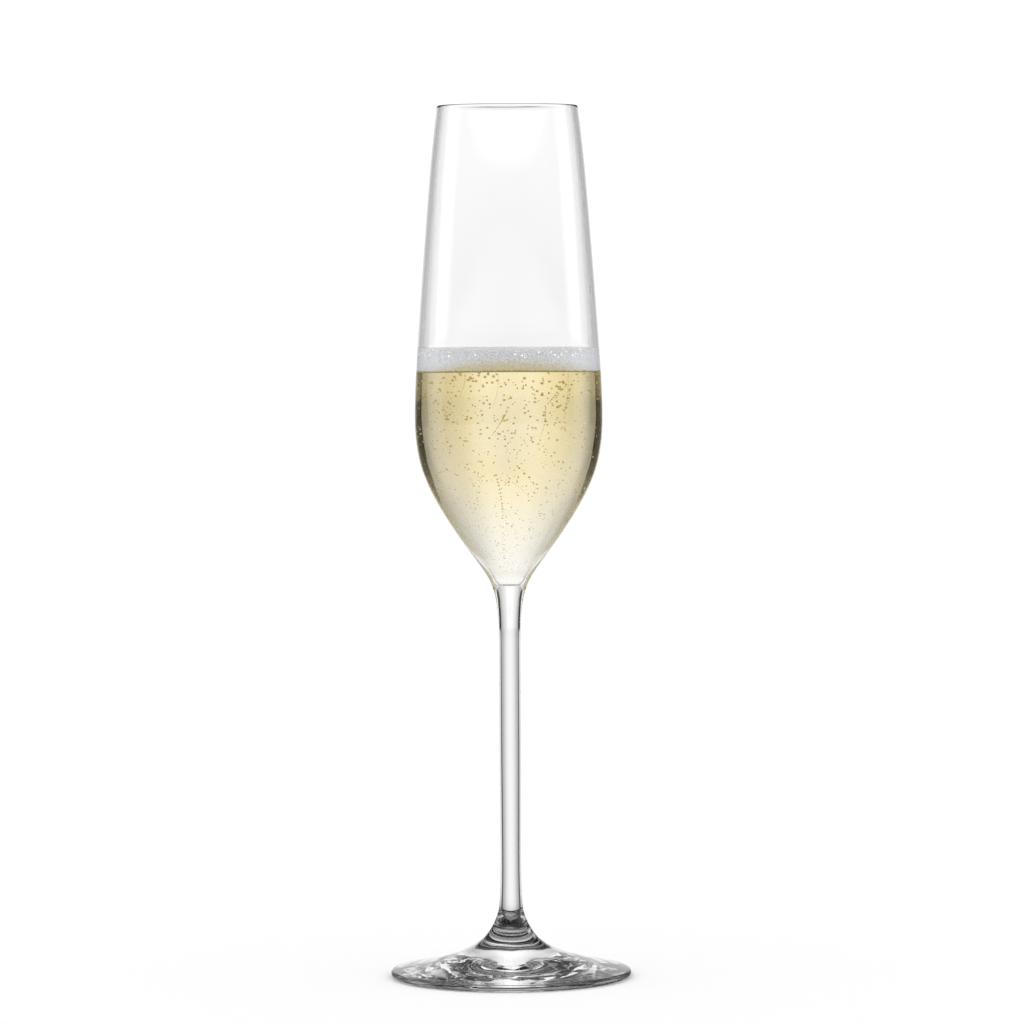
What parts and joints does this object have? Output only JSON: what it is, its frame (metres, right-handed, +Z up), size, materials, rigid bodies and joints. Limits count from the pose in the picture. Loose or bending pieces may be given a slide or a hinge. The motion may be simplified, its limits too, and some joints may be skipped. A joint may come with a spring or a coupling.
{
  "type": "champagne flute",
  "caption": "Tall stemmed flute with a tapering bowl, slim drawn stem and wide foot, part filled with pale sparkling wine under a head of foam.",
  "frame": {"origin": "middle of the foot's resting face, on the axis of the glass", "axes": "+Z up along the axis of the glass, from the foot to the rim; +X and +Y are across it, and the part is round about +Z"},
  "size_m": [0.072, 0.072, 0.26],
  "materials": {
    "bowl_glass": "clear fire-polished crystal glass, thin wall",
    "stem_glass": "clear drawn crystal glass, solid rod",
    "foot_glass": "clear pressed crystal glass, solid disc",
    "sparkling_wine": "clear pale gold liquid with fine bubbles",
    "wine_foam": "wet froth of fine bubbles, cool off-white"
  },
  "bodies": {
    "root": {"bowl": "bowl_glass", "stem": "stem_glass", "foot": "foot_glass", "wine": "sparkling_wine", "foam": "wine_foam"}
  },
  "joints": []
}
